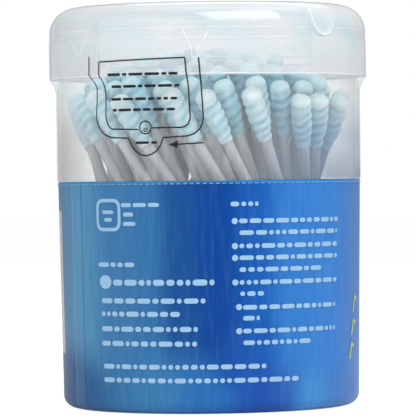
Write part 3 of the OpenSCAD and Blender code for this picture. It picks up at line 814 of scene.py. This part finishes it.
spin = random.Random(5)
for group in range(1, 7):
    ends = stick_ends(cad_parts[f"swab_sticks_{group}"])
    ways = [(high - low).normalized() for low, high in ends]
    sticks = [(low, way, spin.uniform(0, TURN)) for (low, _), way in zip(ends, ways)]
    tops = [(high + way * COVER, -way, spin.uniform(0, TURN)) for (_, high), way in zip(ends, ways)]
    bases = [(low - way * COVER, way, spin.uniform(0, TURN)) for (low, _), way in zip(ends, ways)]
    for kind, spots, templates, rough, material, slot in (
            ("sticks", sticks, [stick_template], STICK_ROUGH, paper, "paper_stick"),
            ("top_heads", tops, head_templates, HEAD_ROUGH, cotton, "cotton"),
            ("base_heads", bases, head_templates, HEAD_ROUGH, cotton, "cotton")):
        piece = stand_copies(f"{kind}_{group}", spots, templates, rough, material, "tub")
        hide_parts(f"swab_{kind}_{group}")

# Perforations of the tear line: short pale slits, punched in a row round the top of the printed
# film, where the two lengths of the sleeve part.
SLITS, SLIT_Z, SLIT_L, SLIT_R, SLIT_SIDES = 150, 0.049, 0.0009, 0.0001, 8
SLIT_WHITE, SLIT_ROUGH = (150, 190, 220), (0.00005, 300)
slit_white, tree, shader = finish_of("slit edge", SLIT_WHITE, 0.5, Specular_IOR_Level=0.2, Alpha=0.6)
add_bump(tree, shader, 0.05, 0.0005)
slit_template = template_of("slit_template", [(0, lambda a: SLIT_R), (SLIT_L, lambda a: SLIT_R)], SLIT_SIDES)
slits = []
for i in range(SLITS):
    a, r = math.radians(i * (360 / SLITS)), label_radius(SLIT_Z) + DECAL_RISE
    start = Vector((r * math.sin(a), -r * math.cos(a), SLIT_Z))
    slits.append((start, Vector((math.cos(a), math.sin(a), 0)), 0))
perforation = stand_copies("perforation", slits, [slit_template], SLIT_ROUGH, slit_white, "tub")

# Plain pale floor and world. The camera sees both as white, mirrored rays see part of that white,
# and the floor keeps a soft shadow.
FLOOR_HALF, FLOOR_GREY, FLOOR_ROUGH, GLOW, GLOW_SHARE = 3, 0.9, 0.9, 1.26, 0.72
WORLD_LIGHT, WORLD_SEEN, MIRRORED_SHARE = 0.27, 1.0, 0.22


def seen_share(tree):
    """How much of the white background a ray sees. Mirrored rays see part of it, so that the clear
    plastic shows it and still keeps a grey outline against it."""
    ray = tree.nodes.new("ShaderNodeLightPath").outputs
    mirrored = math_of(tree, "ADD", ray["Is Glossy Ray"], ray["Is Transmission Ray"], clamp=True)
    mirrored = math_of(tree, "MULTIPLY", mirrored, MIRRORED_SHARE)
    return math_of(tree, "MAXIMUM", ray["Is Camera Ray"], mirrored)


corners = [(x * FLOOR_HALF, y * FLOOR_HALF, 0) for x, y in ((-1, -1), (1, -1), (1, 1), (-1, 1))]
floor_mesh = bpy.data.meshes.new("floor")
floor_mesh.from_pydata(corners, [], [(0, 1, 2, 3)])
floor = bpy.data.objects.new("floor", floor_mesh)
bpy.context.scene.collection.objects.link(floor)
floor_white = bpy.data.materials.new("floor white")
floor_white.use_nodes = True
tree = floor_white.node_tree
shader = tree.nodes["Principled BSDF"]
shader.inputs["Base Color"].default_value = (FLOOR_GREY, FLOOR_GREY, FLOOR_GREY, 1)
shader.inputs["Roughness"].default_value = FLOOR_ROUGH
glow = tree.nodes.new("ShaderNodeEmission")
glow.inputs["Strength"].default_value = GLOW
mixed = tree.nodes.new("ShaderNodeMixShader")
tree.links.new(math_of(tree, "MULTIPLY", seen_share(tree), GLOW_SHARE), mixed.inputs["Fac"])
tree.links.new(shader.outputs["BSDF"], mixed.inputs[1])
tree.links.new(glow.outputs["Emission"], mixed.inputs[2])
tree.links.new(mixed.outputs["Shader"], tree.nodes["Material Output"].inputs["Surface"])
floor_mesh.materials.append(floor_white)

world = bpy.data.worlds.new("studio")
bpy.context.scene.world = world
world.use_nodes = True
tree = world.node_tree
shader = tree.nodes["Background"]
strength = tree.nodes.new("ShaderNodeMapRange")
strength.inputs["To Min"].default_value = WORLD_LIGHT
strength.inputs["To Max"].default_value = WORLD_SEEN
tree.links.new(seen_share(tree), strength.inputs["Value"])
tree.links.new(strength.outputs["Result"], shader.inputs["Strength"])
shader.inputs["Color"].default_value = (1, 1, 1, 1)

# Soft studio light: a large key above the front right, whose reflection is the highlight on the
# lid's shoulder, a wide fill from the left, a weak wide one from the front and a weak one from
# behind. Each is (name, place, what it aims at, width, height, power).
PANELS = (
    ("key", (0.2, -0.3, 0.57), (0, 0, 0.08), 0.5, 0.36, 4.2),
    ("fill", (-0.55, -0.4, 0.4), (0, 0, 0.05), 0.9, 0.9, 2.6),
    ("front", (0, -1.3, 0.35), (0, 0, 0.05), 1.4, 0.9, 0.9),
    ("rear", (0.1, 0.5, 0.6), (0, 0, 0.05), 0.5, 0.3, 0.8))
for name, spot, aim, width, height, power in PANELS:
    lamp = bpy.data.lights.new(name, "AREA")
    lamp.shape = "RECTANGLE"
    lamp.size, lamp.size_y, lamp.energy = width, height, power
    holder = bpy.data.objects.new(name, lamp)
    holder.location = spot
    holder.rotation_euler = (Vector(aim) - Vector(spot)).to_track_quat("-Z", "Y").to_euler()
    bpy.context.scene.collection.objects.link(holder)

# Camera: level with the upper part of the tub, from the photograph's distance, and turned a little
# about its own axis as the photograph is.
SENSOR, LENS, CAMERA_AT = 36, 294, (-0.0002, -0.75, 0.0512)
CAMERA_DOWN, CAMERA_ROLL, NEAREST = 0.59, 0.72, 0.05
camera_data = bpy.data.cameras.new("camera")
camera_data.sensor_width = SENSOR
camera_data.lens = LENS
camera_data.clip_start = NEAREST
camera = bpy.data.objects.new("camera", camera_data)
bpy.context.scene.collection.objects.link(camera)
camera.location = CAMERA_AT
camera.rotation_euler = (math.radians(90 - CAMERA_DOWN), math.radians(CAMERA_ROLL), 0)
bpy.context.scene.camera = camera

bpy.context.scene.view_settings.view_transform = "Standard"
bpy.context.scene.cycles.transparent_max_bounces = 32
